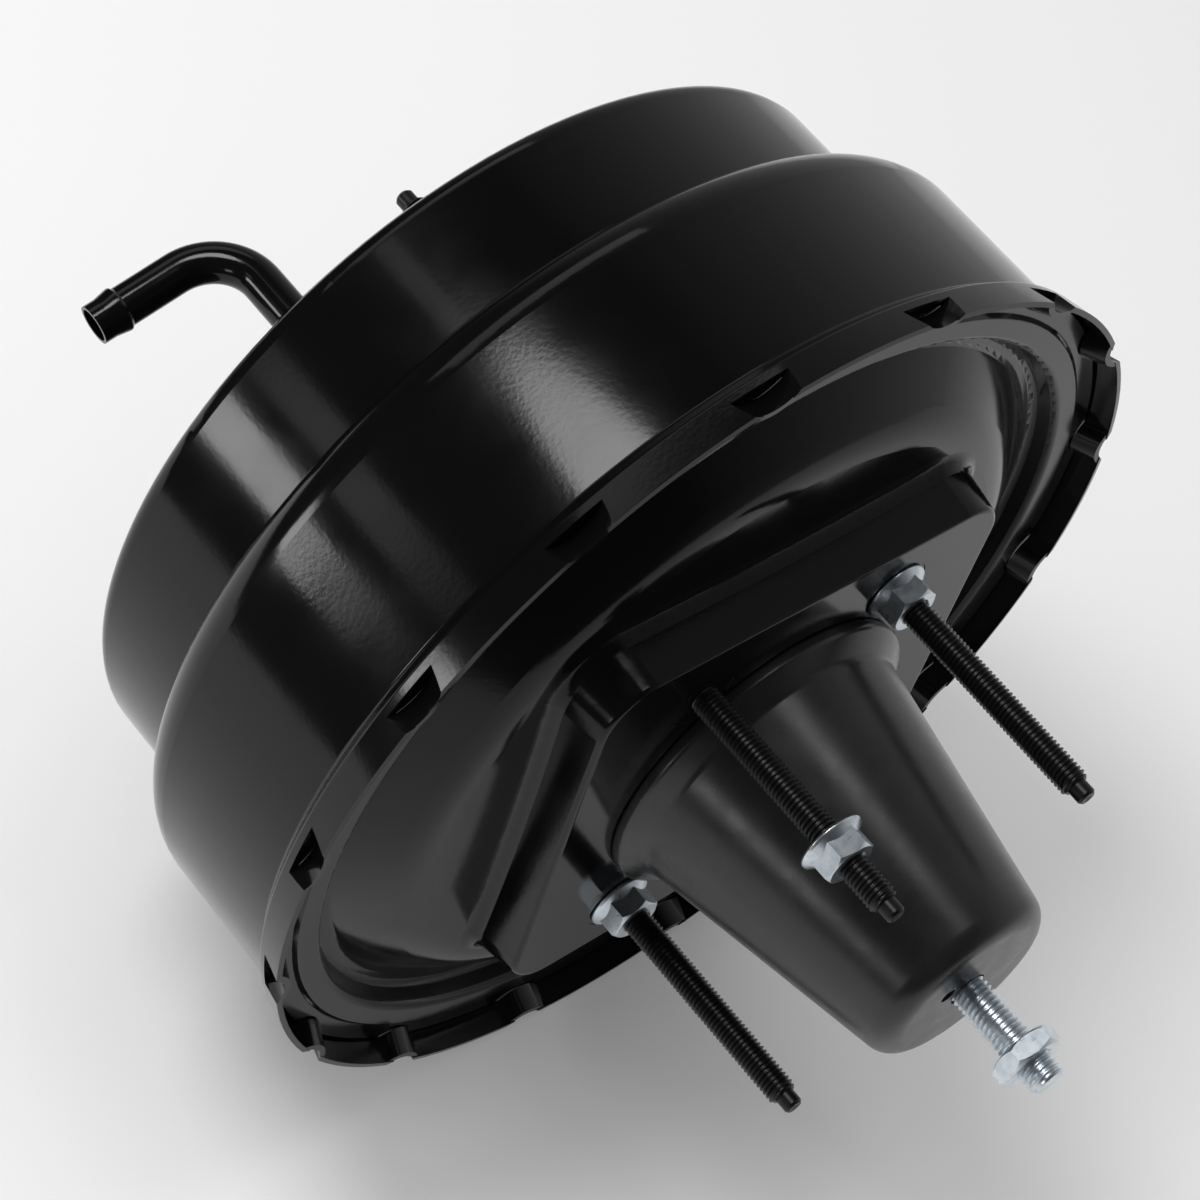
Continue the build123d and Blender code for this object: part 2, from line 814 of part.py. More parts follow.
def valve_body():
    """Moulded valve body: long rear tube, hub, nose, bores, air passages and key slot."""
    body = turned(
        [
            (0, tube_end_y),
            (tube_radius, tube_end_y),
            (tube_radius, hub_rear_y),
            (hub_radius, hub_rear_y),
            (hub_radius, hub_front_y),
            (nose_radius, hub_front_y),
            (nose_radius, nose_front_y),
            (0, nose_front_y),
        ]
    )
    body -= bar(tube_bore_radius, tube_end_y - 1, valve_floor_y)
    seat_bore = valve_seat_radius - valve_seat_wall
    body += ring(seat_bore, valve_seat_radius, plunger_rear_y, valve_floor_y)
    flange_y = plunger_rear_y + valve_flange_height + valve_travel
    body -= bar(seat_bore, valve_floor_y - 1, flange_y + key_play)
    body -= bar(plunger_radius + running_clearance, valve_floor_y, stem_start_y + valve_travel + key_play)
    body -= bar(stem_radius + running_clearance, stem_start_y, disc_seat_y + 1)
    body -= bar(disc_radius + running_clearance, disc_seat_y, nose_front_y + 1)
    for side in (-1, 1):
        spot = (side * passage_circle_radius, 0)
        body -= bar(passage_radius, valve_floor_y - 1, nose_front_y + 1, spot)
    pocket_place = (nose_radius + passage_circle_radius + passage_radius) / 2
    for i in range(pocket_count):
        angle = radians(30 + i * 360 / pocket_count)
        spot = (pocket_place * cos(angle), pocket_place * sin(angle))
        body -= bar(pocket_radius, nose_front_y - pocket_depth, nose_front_y + 1, spot)
    slot_length = hub_radius + 2
    slot = Box(key_width + 0.6, key_thickness, slot_length)
    slot_y = key_y + key_thickness / 2
    return body - Pos(0, slot_y, slot_length / 2) * slot


def stop_key():
    """Flat forked key that limits how far the plunger returns."""
    length = key_length
    start = key_groove_radius + key_play
    plate = Box(key_width, key_thickness, length)
    plate = Pos(0, key_y + key_thickness / 2, length / 2) * plate
    mouth = bar(start, key_y - 1, key_front_y + 1)
    mouth += Pos(0, key_y + key_thickness / 2, 0) * Box(2 * start, key_thickness + 2, 2 * 0.1)
    return plate - mouth


def reaction_disc():
    """Rubber disc between the valve body and the output rod."""
    disc = bar(disc_radius, disc_seat_y, output_head_y)
    return chamfer(disc.edges(), 0.6)


def output_rod():
    """Headed pushrod towards the master cylinder, bored for its adjusting screw."""
    rod = bar(disc_radius, output_head_y, clip_y)
    rod += bar(output_rod_radius, clip_y, output_rod_end_y)
    hole = bar(output_screw_radius, output_rod_end_y - output_screw_shank, output_rod_end_y + 1)
    return rod - hole


def output_screw():
    """Adjusting screw with a domed head in the rod's end."""
    start = output_rod_end_y - output_screw_shank
    screw = bar(output_screw_radius - running_clearance, start, output_rod_end_y)
    head_end = output_rod_end_y + output_screw_height
    head = bar(output_screw_head_radius, output_rod_end_y, head_end)
    return screw + fillet(head.edges().group_by(Axis.Y)[-1], 1.5)


def output_clip():
    """Steel ring that keeps the rod's head in the valve body."""
    return ring(output_rod_radius + 1.5, disc_radius, clip_y, clip_y + clip_height)


def return_spring():
    """Conical spring between the front piston plate and the reinforcement plate."""
    seat = pad_y - front_wall - plate_wall - 1
    return coil(
        return_wire_radius,
        return_spring_small_radius,
        return_spring_large_radius,
        hub_front_y + diaphragm_wall + plate_wall,
        seat,
        return_spring_turns,
    )


# ---------------------------------------------------------------- input valve and pushrod
def valve_plunger():
    """Plunger with a ball socket at its rear, a valve flange, a key groove and a stem."""
    cavity = ball_radius + ball_clearance
    groove_start_y = key_y - valve_travel - key_play
    body = turned(
        [
            (0, plunger_rear_y),
            (valve_flange_radius, plunger_rear_y),
            (valve_flange_radius, plunger_rear_y + valve_flange_height - 0.5),
            (plunger_radius, plunger_rear_y + valve_flange_height - 0.5),
            (plunger_radius, stem_start_y),
            (stem_radius, stem_start_y),
            (stem_radius, groove_start_y),
            (key_groove_radius, groove_start_y),
            (key_groove_radius, key_front_y + key_play),
            (stem_radius, key_front_y + key_play),
            (stem_radius, disc_seat_y - plunger_gap),
            (0, disc_seat_y - plunger_gap),
        ]
    )
    body -= Pos(0, ball_y, 0) * Sphere(cavity)
    return body - bar(socket_mouth_radius, plunger_rear_y - 1, ball_y)


def input_pushrod():
    """Pedal pushrod: ball end, neck, shank and M10 thread with its core under the jam nut."""
    nut_start = jam_nut_y - nut_half_height
    nut_end = jam_nut_y + nut_half_height
    neck_end_y = plunger_rear_y - 4
    rod = Pos(0, ball_y, 0) * Sphere(ball_radius)
    rod += bar(rod_neck_radius, neck_end_y, ball_y)
    rod += bar(rod_radius, nut_end, neck_end_y)
    rod += bar(m10_core_radius, nut_start, nut_end)
    end = bar(m10_radius, rod_end_y, nut_start)
    rod += chamfer(end.edges().group_by(Axis.Y)[0], 0.9)
    return rod


def poppet_valve():
    """Rubber poppet: flat face, bellows and a bead held in the tube."""
    face_y = plunger_rear_y - 0.1
    back_y = face_y - poppet_bellows_length
    return turned(
        [
            (poppet_inner_radius, face_y),
            (poppet_outer_radius, face_y),
            (poppet_outer_radius, face_y - poppet_thickness - 2),
            (poppet_bellows_radius, back_y + 2),
            (tube_bore_radius, back_y + 2),
            (tube_bore_radius, back_y),
            (poppet_bellows_radius - poppet_wall, back_y),
            (poppet_outer_radius - poppet_wall, face_y - poppet_thickness - 2),
            (poppet_outer_radius - poppet_wall, face_y - poppet_thickness),
            (poppet_inner_radius, face_y - poppet_thickness),
        ]
    )


def poppet_retainer():
    """Pressed steel cup that clamps the poppet's bead in the tube."""
    bead_y = plunger_rear_y - 0.1 - poppet_bellows_length
    floor_y = bead_y - retainer_depth
    lip = ring(tube_bore_radius - retainer_wall, tube_bore_radius, floor_y, bead_y)
    return lip + ring(retainer_bore_radius, tube_bore_radius, floor_y, floor_y + retainer_wall)


def poppet_spring():
    """Small spring that closes the poppet."""
    front = plunger_rear_y - 0.1 - poppet_thickness
    back = plunger_rear_y - 0.1 - poppet_bellows_length - retainer_depth + retainer_wall
    radius = poppet_spring_radius
    return coil(small_wire_radius, radius, radius, back, front, poppet_spring_turns)


def spring_seat():
    """Collar on the pushrod that carries the valve spring."""
    outer = valve_spring_radius + 2 * small_wire_radius
    return ring(rod_radius, outer, spring_seat_y - spring_seat_height, spring_seat_y)


def valve_spring():
    """Spring round the pushrod that returns the plunger."""
    front = plunger_rear_y - 0.1 - poppet_bellows_length - retainer_depth
    radius = valve_spring_radius
    return coil(small_wire_radius, radius, radius, spring_seat_y, front, valve_spring_turns)


def air_filter():
    """Foam ring at the open end of the tube."""
    inner = filter_bore_radius
    outer = tube_bore_radius - 0.1
    return ring(inner, outer, tube_end_y + 1, tube_end_y + 1 + filter_length)


def silencer():
    """Felt ring ahead of the air filter."""
    start = tube_end_y + 1 + filter_length + 0.1
    outer = tube_bore_radius - 0.1
    return ring(filter_bore_radius, outer, start, start + silencer_length)


# ---------------------------------------------------------------- write the parts
parts = {
    "front_shell": front_shell,
    "rear_shell": rear_shell,
    "centre_plate": centre_plate,
    "reinforcement_plate": reinforcement_plate,
    "firewall_studs": firewall_studs,
    "firewall_nuts": firewall_nuts,
    "cylinder_studs": cylinder_studs,
    "vacuum_pipe": vacuum_pipe,
    "pipe_collar": pipe_collar,
    "dust_boot": dust_boot,
    "rear_bush": rear_bush,
    "rear_seal": rear_seal,
    "rear_seal_retainer": rear_seal_retainer,
    "centre_seal": centre_seal,
    "front_seal_plate": front_seal_plate,
    "front_seal": front_seal,
    "rear_diaphragm": rear_diaphragm,
    "front_diaphragm": front_diaphragm,
    "valve_body": valve_body,
    "rear_piston_plate": rear_piston_plate,
    "front_piston_plate": front_piston_plate,
    "stop_key": stop_key,
    "reaction_disc": reaction_disc,
    "output_rod": output_rod,
    "output_screw": output_screw,
    "output_clip": output_clip,
    "return_spring": return_spring,
    "valve_plunger": valve_plunger,
    "poppet_valve": poppet_valve,
    "poppet_retainer": poppet_retainer,
    "poppet_spring": poppet_spring,
    "air_filter": air_filter,
    "silencer": silencer,
    "input_pushrod": input_pushrod,
    "jam_nut": jam_nut,
    "spring_seat": spring_seat,
    "valve_spring": valve_spring,
}

os.makedirs("parts", exist_ok=True)
for name, build in parts.items():
    solid = build()
    if isinstance(solid, list):
        solid = Compound(children=solid)
    export_step(solid, f"parts/{name}.step")
    print(name, round(solid.volume))
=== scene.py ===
# %% [markdown]
# # A tandem vacuum brake booster
# The booster is two pressed steel shells, painted gloss black, around a sliding power piston.
# A rubber boot and four long studs face the pedal, and a bent steel pipe takes the vacuum hose.
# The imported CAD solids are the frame: they keep their shapes and only get finishes. Threads,
# nuts, the pushrod, the rubber boot and the two springs that shorten are modelled here, because
# they are too fine or too soft for CAD.

# %% Load the frame
import json
from math import atan2, cos, pi, radians, sin, tan

import bpy
from mathutils import Matrix, Vector


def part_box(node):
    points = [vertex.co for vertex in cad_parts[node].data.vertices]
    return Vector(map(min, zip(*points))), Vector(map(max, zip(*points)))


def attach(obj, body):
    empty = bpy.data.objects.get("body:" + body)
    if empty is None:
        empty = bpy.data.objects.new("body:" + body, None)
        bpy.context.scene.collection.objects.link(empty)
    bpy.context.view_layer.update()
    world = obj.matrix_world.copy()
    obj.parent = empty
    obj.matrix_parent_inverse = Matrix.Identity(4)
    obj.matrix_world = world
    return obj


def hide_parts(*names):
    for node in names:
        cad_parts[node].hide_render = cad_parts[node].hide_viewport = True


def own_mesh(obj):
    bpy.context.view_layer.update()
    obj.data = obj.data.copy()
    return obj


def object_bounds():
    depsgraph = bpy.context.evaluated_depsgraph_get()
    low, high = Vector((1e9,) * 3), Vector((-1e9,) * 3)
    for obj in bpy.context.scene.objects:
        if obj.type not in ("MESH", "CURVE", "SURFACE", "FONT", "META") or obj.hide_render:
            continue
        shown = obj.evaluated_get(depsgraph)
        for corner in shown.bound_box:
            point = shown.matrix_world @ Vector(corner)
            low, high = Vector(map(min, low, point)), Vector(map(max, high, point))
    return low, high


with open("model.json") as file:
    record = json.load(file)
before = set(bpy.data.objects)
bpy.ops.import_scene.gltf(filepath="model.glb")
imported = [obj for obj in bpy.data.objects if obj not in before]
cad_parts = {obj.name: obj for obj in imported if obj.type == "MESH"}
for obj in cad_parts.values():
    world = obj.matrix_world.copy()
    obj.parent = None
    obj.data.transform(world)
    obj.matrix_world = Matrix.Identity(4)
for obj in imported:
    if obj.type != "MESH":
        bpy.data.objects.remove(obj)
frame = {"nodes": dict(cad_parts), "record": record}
cad_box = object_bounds()
nodes = frame["nodes"]
mm = 0.001
print("CAD nodes:", len(nodes), "box:", [[round(v, 4) for v in corner] for corner in cad_box])

# %% [markdown]
# ## The camera
# A long lens nearly a metre away, looking down on the pedal side from the upper left, keeps the
# drum nearly free of perspective. The camera is also rolled, so the booster's axis runs
# diagonally. A place and three turns are plain numbers that anyone can change.

# %% Place the camera
camera_place = Vector((-475.80, -274.02, 700.70)) * mm
camera_turns = (radians(37.622), radians(-12.583), radians(-39.102))
lens_mm = 105.0
sensor_mm = 36.0
nearest_shown = 0.01
bpy.ops.object.select_all(action="DESELECT")
bpy.ops.object.camera_add(location=camera_place, rotation=camera_turns)
camera = bpy.context.object
camera.data.lens = lens_mm
camera.data.sensor_width = sensor_mm
camera.data.clip_start = nearest_shown
bpy.context.scene.camera = camera
print("camera to origin:", round(camera_place.length, 3), "lens:", lens_mm)

# %% [markdown]
# ## The studio
# Gloss black paint shows almost nothing but its surroundings, so the studio is what shapes it:
# a key lamp overhead, small lamps round it, a pale floor, and a room that is dark at the left
# and overhead and paler at the right. The Standard view shows a colour as it is written. Three
# helpers come first: one turns an sRGB hex colour linear, one adds a shader node with its
# settings and links, and one sets the stops of a colour ramp.

# %% Set the view and define the node helpers
scene = bpy.context.scene
scene.view_settings.view_transform = "Standard"


def linear(hex_colour):
    """An sRGB hex colour as the linear values that Blender calculates with."""
    values = []
    for start in (1, 3, 5):
        share = int(hex_colour[start:start + 2], 16) / 255
        values.append(share / 12.92 if share <= 0.04045 else ((share + 0.055) / 1.055) ** 2.4)
    return (*values, 1.0)


def add_node(tree, kind, settings=None, links=None):
    """One node with its settings, by attribute or socket, and the sockets that feed it."""
    node = tree.nodes.new(kind)
    for key, value in (settings or {}).items():
        if isinstance(key, int) or key in node.inputs:
            node.inputs[key].default_value = value
        else:
            setattr(node, key, value)
    for key, source in (links or {}).items():
        tree.links.new(source, node.inputs[key])
    return node


def ramp_between(node, stops):
    """Sets a colour ramp's stops: a list of (place, colour)."""
    ramp = node.color_ramp
    while len(ramp.elements) < len(stops):
        ramp.elements.new(0.5)
    for element, (place, colour) in zip(ramp.elements, stops):
        element.position = place
        element.color = colour


print("view:", scene.view_settings.view_transform, "#808080 is", round(linear("#808080")[0], 3))

# %% [markdown]
# ### The room
# The world is the room. A colour ramp over a direction's X coordinate makes its walls, from left
# to right. Light Path shows these walls to the camera and in gloss and glass, and gives every
# other ray one even pale grey. So the walls shape what the paint mirrors, and the floor and the
# rubber are still lit evenly.

# %% Build the room
left_wall = linear("#4a4a4c")
ceiling = linear("#2c2c2e")
wall_turn = linear("#888888")
right_wall = linear("#d4d4d4")
even_light = linear("#c6c6c6")
wall_stops = [
    (0.0, left_wall),
    (0.35, ceiling),
    (0.6, ceiling),
    (0.76, wall_turn),
    (1.0, right_wall),
]
world = bpy.data.worlds.new("studio_room")
scene.world = world
world.use_nodes = True
room = world.node_tree
room.nodes.clear()
way = add_node(room, "ShaderNodeTexCoord").outputs["Generated"]
across = add_node(room, "ShaderNodeSeparateXYZ", links={"Vector": way}).outputs["X"]
whole_room = {"From Min": -1.0, "From Max": 1.0}
share = add_node(room, "ShaderNodeMapRange", whole_room, {"Value": across}).outputs["Result"]
walls = add_node(room, "ShaderNodeValToRGB", links={"Fac": share})
ramp_between(walls, wall_stops)
seen = {"Color": walls.outputs["Color"]}
room_seen = add_node(room, "ShaderNodeBackground", {"Strength": 1.0}, seen).outputs[0]
even = {"Color": even_light, "Strength": 1.0}
room_light = add_node(room, "ShaderNodeBackground", even).outputs[0]
ray = add_node(room, "ShaderNodeLightPath").outputs
shown = ray["Is Camera Ray"]
for mirrored in (ray["Is Glossy Ray"], ray["Is Transmission Ray"]):
    both = {0: shown, 1: mirrored}
    shown = add_node(room, "ShaderNodeMath", {"operation": "ADD"}, both).outputs[0]
shares = {0: shown, 1: room_light, 2: room_seen}
air = add_node(room, "ShaderNodeMixShader", links=shares).outputs[0]
add_node(room, "ShaderNodeOutputWorld", links={"Surface": air})
print("room:", len(room.nodes), "nodes,", len(wall_stops), "wall stops")

# %% [markdown]
# ### The lamps
# A highlight on gloss depends on a lamp's direction. So each lamp is placed by its angle round
# the booster's axis, which moves its highlight round the drum, and by its offset along the axis,
# which picks the slope of the drum that mirrors it. Its strength is given as radiance, so a lamp
# can change its size and still look as bright in the paint.

# %% Put up the lamps
lamp_distance = 1.5
lamp_target = Vector((0.0, 0.03, 0.0))


def softbox(name, around, along, wide, deep, radiance, shape="RECTANGLE"):
    """A lamp at an angle round the booster's axis, from +Z towards +X, and an offset along it."""
    angle = radians(around)
    out = (lamp_distance ** 2 - along ** 2) ** 0.5
    place = lamp_target + Vector((out * sin(angle), along, out * cos(angle)))
    bpy.ops.object.select_all(action="DESELECT")
    bpy.ops.object.light_add(type="AREA", location=place)
    lamp = bpy.context.object
    lamp.name = name
    lamp.data.shape = shape
    lamp.data.size = wide
    lamp.data.size_y = deep
    area = wide * deep * (pi / 4 if shape == "ELLIPSE" else 1.0)
    lamp.data.energy = radiance * pi * area
    back = (place - lamp_target).normalized()
    side = Vector((cos(angle), 0.0, -sin(angle)))
    lamp.rotation_euler = Matrix((side, back.cross(side), back)).transposed().to_euler()


# Name, angle in degrees, offset in metres, size across and along in metres, radiance.
lamps = [
    ("lamp_key", -17.5, 0.4, 0.6, 0.47, 12.5, "ELLIPSE"),
    ("lamp_key_bounce", -21, 0.72, 0.14, 0.14, 0.9),
    ("lamp_left_back", -78, 0.79, 0.28, 0.4, 11.0),
    ("lamp_left_window", -60, 0.65, 0.22, 0.2, 1.2),
    ("lamp_over_back", 0, 1.1, 1.2, 0.4, 1.0),
    ("lamp_over_boot", 4, -0.17, 0.36, 0.3, 4.0),
    ("lamp_left_boot", -81, -0.17, 0.22, 0.3, 5.0),
]
for lamp_row in lamps:
    softbox(*lamp_row)
print("lamps:", len(lamps))

# %% [markdown]
# ### The floor
# A pale floor just under the booster takes its soft shadow, and the lower half of the drum
# mirrors it. It is stage, which means that it is not part of the object.

# %% Lay the floor
floor_size = 1.7
floor_centre = (0.1, 0.05)
floor_drop = 1.0 * mm
floor_height = cad_box[0][2] - floor_drop
bpy.ops.object.select_all(action="DESELECT")
bpy.ops.mesh.primitive_plane_add(size=floor_size, location=(*floor_centre, floor_height))
floor = bpy.context.object
floor.name = "studio_floor"
print("floor height:", round(floor_height, 4))

# %% [markdown]
# ## Finishes
# Each finish is one material, built from noise and bump in real millimetres. Object coordinates
# are metres here, so a noise scale of 1 / size gives features of that size. A real grain that
# is finer than a third of a millimetre would be lost in a render, so it is drawn that coarse.

# %% Material helpers
noise_range = (0.3, 0.7)
tint_range = (0.35, 0.65)


def start_material(name, colour, roughness, metallic=0.0, ior=None):
    """A Principled material with its constants set on the shader's own sockets."""
    material = bpy.data.materials.new(name)
    material.use_nodes = True
    tree = material.node_tree
    shader = tree.nodes["Principled BSDF"]
    shader.inputs["Base Color"].default_value = linear(colour)
    shader.inputs["Roughness"].default_value = roughness
    shader.inputs["Metallic"].default_value = metallic
    if ior:
        shader.inputs["IOR"].default_value = ior
    place = add_node(tree, "ShaderNodeTexCoord").outputs["Object"]
    return material, tree, shader, place


def grain(tree, place, size_mm, detail=2.0):
    """Noise with features of a real size."""
    settings = {"Scale": 1.0 / (size_mm * mm), "Detail": detail}
    return add_node(tree, "ShaderNodeTexNoise", settings, {"Vector": place}).outputs["Fac"]


def wander(tree, shader, factor, low, high):
    """A roughness that wanders between two values."""
    start, end = noise_range
    settings = {"From Min": start, "From Max": end, "To Min": low, "To Max": high}
    node = add_node(tree, "ShaderNodeMapRange", settings, {"Value": factor})
    tree.links.new(node.outputs["Result"], shader.inputs["Roughness"])


def bump(tree, shader, height, depth_mm, strength):
    """Bump of a depth in millimetres on the shader's normal."""
    settings = {"Strength": strength, "Distance": depth_mm * mm}
    node = add_node(tree, "ShaderNodeBump", settings, {"Height": height})
    tree.links.new(node.outputs["Normal"], shader.inputs["Normal"])


def tint(tree, shader, factor, colour_low, colour_high):
    """A base colour that wanders between two."""
    start, end = tint_range
    node = add_node(tree, "ShaderNodeValToRGB", links={"Fac": factor})
    ramp_between(node, [(start, linear(colour_low)), (end, linear(colour_high))])
    tree.links.new(node.outputs["Color"], shader.inputs["Base Color"])


print("noise scale for features of 1 mm:", 1.0 / mm)

# %% [markdown]
# ### Gloss black paint
# The shells are sprayed over pressed steel and baked. Baked paint dries with a fine orange
# peel, ripples of about a millimetre and a half, which breaks up the edge of every highlight.
# Real ripples are a few microns high; here they are higher, so that they show. The steel under
# the paint is drawn, so the roughness wanders slowly.

# %% Gloss black paint
paint, tree, shader, place = start_material("baked_gloss_black_paint", "#090909", 0.12, ior=1.33)
peel = grain(tree, place, size_mm=1.3, detail=1.0)
bump(tree, shader, peel, depth_mm=0.02, strength=0.45)
wander(tree, shader, grain(tree, place, size_mm=18.0), low=0.1, high=0.15)
print("finish:", paint.name)

# %% [markdown]
# ### Black rubber
# The boot is moulded from filled rubber. Its skin is even and satin, dark grey and not black,
# with the fine grain of the mould, which is drawn half a millimetre wide so that it shows.

# %% Black rubber
rubber, tree, shader, place = start_material("moulded_black_rubber", "#171718", 0.28, ior=1.5)
tint(tree, shader, grain(tree, place, size_mm=9.0), "#151516", "#1a1a1b")
bump(tree, shader, grain(tree, place, size_mm=0.5), depth_mm=0.012, strength=0.3)
wander(tree, shader, grain(tree, place, size_mm=6.0), low=0.26, high=0.32)
print("finish:", rubber.name)

# %% [markdown]
# ### Blackened steel
# The studs are blackened and oiled steel, so their threads glint but stay black.

# %% Blackened steel
blackened, tree, shader, place = start_material("oiled_blackened_steel", "#080808", 0.36, ior=1.35)
tint(tree, shader, grain(tree, place, size_mm=2.0), "#060606", "#0c0c0c")
bump(tree, shader, grain(tree, place, size_mm=0.3), depth_mm=0.006, strength=0.3)
print("finish:", blackened.name)

# %% [markdown]
# ### Bright zinc plate
# The nuts and the pushrod are zinc plated and clear passivated, which gives a cool, faintly blue
# metal. The plate is matt on machined flats and cloudy over a millimetre or two.

# %% Bright zinc plate
zinc, tree, shader, place = start_material("bright_zinc_plate", "#c9d1d8", 0.3, metallic=1.0)
tint(tree, shader, grain(tree, place, size_mm=2.5), "#c0c9d0", "#d3dae0")
bump(tree, shader, grain(tree, place, size_mm=0.6), depth_mm=0.001, strength=0.2)
wander(tree, shader, grain(tree, place, size_mm=1.5), low=0.27, high=0.34)
print("finish:", zinc.name)

# %% [markdown]
# ### Inner metals
# Nothing inside shows while the booster is closed, but each inner piece still gets what it is
# made of. The plates are rolled steel, grey and slightly cloudy. The springs are drawn wire,
# which is darker and smoother.

# %% Inner metals
rolled, tree, shader, place = start_material("rolled_steel", "#8f9091", 0.36, metallic=1.0)
tint(tree, shader, grain(tree, place, size_mm=4.0), "#84868a", "#9a9b9c")
bump(tree, shader, grain(tree, place, size_mm=0.5), depth_mm=0.01, strength=0.2)

wire, tree, shader, place = start_material("drawn_spring_wire", "#55575a", 0.3, metallic=1.0)
tint(tree, shader, grain(tree, place, size_mm=1.5), "#4b4d50", "#5f6164")
print("finishes:", rolled.name, wire.name)

# %% [markdown]
# ### Inner plastics and rubber
# The valve body is moulded from a brown phenolic resin with a mottled filler, and the bush from
# nylon, which is ivory and plain. The seals and diaphragms are a duller rubber than the boot.

# %% Inner plastics and rubber
resin, tree, shader, place = start_material("moulded_phenolic_resin", "#3a2a22", 0.42, ior=1.55)
tint(tree, shader, grain(tree, place, size_mm=3.0, detail=4.0), "#33241d", "#443127")
bump(tree, shader, grain(tree, place, size_mm=0.4), depth_mm=0.02, strength=0.3)

nylon, tree, shader, place = start_material("moulded_nylon", "#ddd8c8", 0.4, ior=1.53)
tint(tree, shader, grain(tree, place, size_mm=5.0), "#d8d2c0", "#e4dfd0")

seal, tree, shader, place = start_material("seal_rubber", "#1c1c1d", 0.55, ior=1.5)
tint(tree, shader, grain(tree, place, size_mm=5.0), "#19191a", "#202021")
bump(tree, shader, grain(tree, place, size_mm=0.3), depth_mm=0.01, strength=0.3)
print("finishes:", resin.name, nylon.name, seal.name)

# %% [markdown]
# ### Foam and felt
# The air filter is open foam, whose cells are most of a millimetre wide, so it is deep and
# matt. The silencer is pressed felt, pale and matted from fine fibres.

# %% Foam and felt
foam, tree, shader, place = start_material("open_cell_foam", "#2c2c2c", 0.9, ior=1.45)
tint(tree, shader, grain(tree, place, size_mm=0.8, detail=3.0), "#1b1b1b", "#3c3c3c")
bump(tree, shader, grain(tree, place, size_mm=0.8, detail=3.0), depth_mm=0.3, strength=0.8)

felt, tree, shader, place = start_material("pressed_felt", "#b7b1a3", 0.95, ior=1.45)
tint(tree, shader, grain(tree, place, size_mm=0.6, detail=6.0), "#a29c8f", "#c6c0b2")
bump(tree, shader, grain(tree, place, size_mm=0.4, detail=6.0), depth_mm=0.15, strength=0.7)
print("finishes:", foam.name, felt.name)

# %% [markdown]
# ### Giving out the finishes
# The floor is painted board, nearly white and matt. Each CAD node then gets the finish that its
# row in the record names.

# %% Give out the finishes
ground, tree, shader, place = start_material("pale_studio_floor", "#f6f6f6", 0.9, ior=1.3)
floor.data.materials.append(ground)

finishes = {
    "black_paint": paint,
    "black_steel": blackened,
    "zinc_plate": zinc,
    "boot_rubber": rubber,
    "seal_rubber": seal,
    "plain_steel": rolled,
    "spring_steel": wire,
    "moulded_resin": resin,
    "nylon": nylon,
    "filter_foam": foam,
    "filter_felt": felt,
}
for row in frame["record"]["subparts"]:
    for material_slot in nodes[row["node"]].material_slots:
        material_slot.material = finishes[row["material_slot"]]
print("finishes:", len(finishes))

# %% [markdown]
# ## Turning on a lathe
# Studs, boot and rods are all round. A turned piece starts as one point, which is extruded
# from corner to corner to draw its half section, and the Screw modifier spins that round the
# axis. With an offset per turn the same modifier cuts a thread. No real corner is sharp, so the
# first helper puts an arc in place of each corner of a section.

# %% Round the corners of a section
straight_within = 0.001


def rounded(points, radii, steps=5):
    """The (radius, y) points with an arc in place of each inner corner."""
    path = [Vector(points[0])]
    for i, radius in enumerate(radii):
        corner = Vector(points[i + 1])
        back = (Vector(points[i]) - corner).normalized()
        ahead = (Vector(points[i + 2]) - corner).normalized()
        half = back.angle(ahead) / 2
        if radius == 0 or abs(half - pi / 2) < straight_within:
            path.append(corner)
            continue
        centre = corner + (back + ahead).normalized() * (radius / sin(half))
        first = corner + back * (radius / tan(half)) - centre
        last = corner + ahead * (radius / tan(half)) - centre
        start = atan2(first.y, first.x)
        sweep = (atan2(last.y, last.x) - start + pi) % (2 * pi) - pi
        for step in range(steps + 1):
            angle = start + sweep * step / steps
            path.append(centre + radius * Vector((cos(angle), sin(angle))))
    path.append(Vector(points[-1]))
    return path


print("points of one rounded corner:", len(rounded([(0, 0), (1, 0), (1, 1)], [0.2])) - 2)

# %% [markdown]
# ### Drawing a section
# An operator acts on all that is selected, so each helper first selects its own piece alone. The
# section starts as a plane that is merged into one point.

# %% Draw a half section


def only(piece):
    """Selects one piece and nothing else."""
    bpy.ops.object.select_all(action="DESELECT")
    piece.select_set(True)
    bpy.context.view_layer.objects.active = piece


def edit_all(piece):
    """Opens one piece in edit mode with all of its mesh selected."""
    only(piece)
    bpy.ops.object.mode_set(mode="EDIT")
    bpy.ops.mesh.select_all(action="SELECT")


def draw_section(name, points):
    """A half section drawn by extruding one point from corner to corner, in millimetres."""
    bpy.ops.object.select_all(action="DESELECT")
    bpy.ops.mesh.primitive_plane_add(size=mm)
    piece = bpy.context.object
    piece.name = name
    piece.data.name = name
    edit_all(piece)
    bpy.ops.mesh.merge(type="CENTER")
    corners = [Vector((point[0] * mm, point[1] * mm, 0.0)) for point in points]
    bpy.ops.transform.translate(value=corners[0])
    for here, there in zip(corners, corners[1:]):
        bpy.ops.mesh.extrude_vertices_move(TRANSFORM_OT_translate={"value": there - here})
    bpy.ops.object.mode_set(mode="OBJECT")
    return piece


# %% [markdown]
# ### Spinning and cleaning
# Spin and boolean leave doubled points and faces that may point inwards. So each piece is
# cleaned: doubles are merged, faces are turned outwards, and only the edges that are sharper
# than an angle stay sharp to the eye.

# %% Spin and clean
double_within = 0.002 * mm
axis_within = 0.001 * mm


def apply_modifier(piece, kind, settings):
    """Adds a modifier, sets it and applies it."""
    only(piece)
    modifier = piece.modifiers.new(kind.lower(), kind)
    for key, value in settings.items():
        setattr(modifier, key, value)
    bpy.ops.object.modifier_apply(modifier=modifier.name)


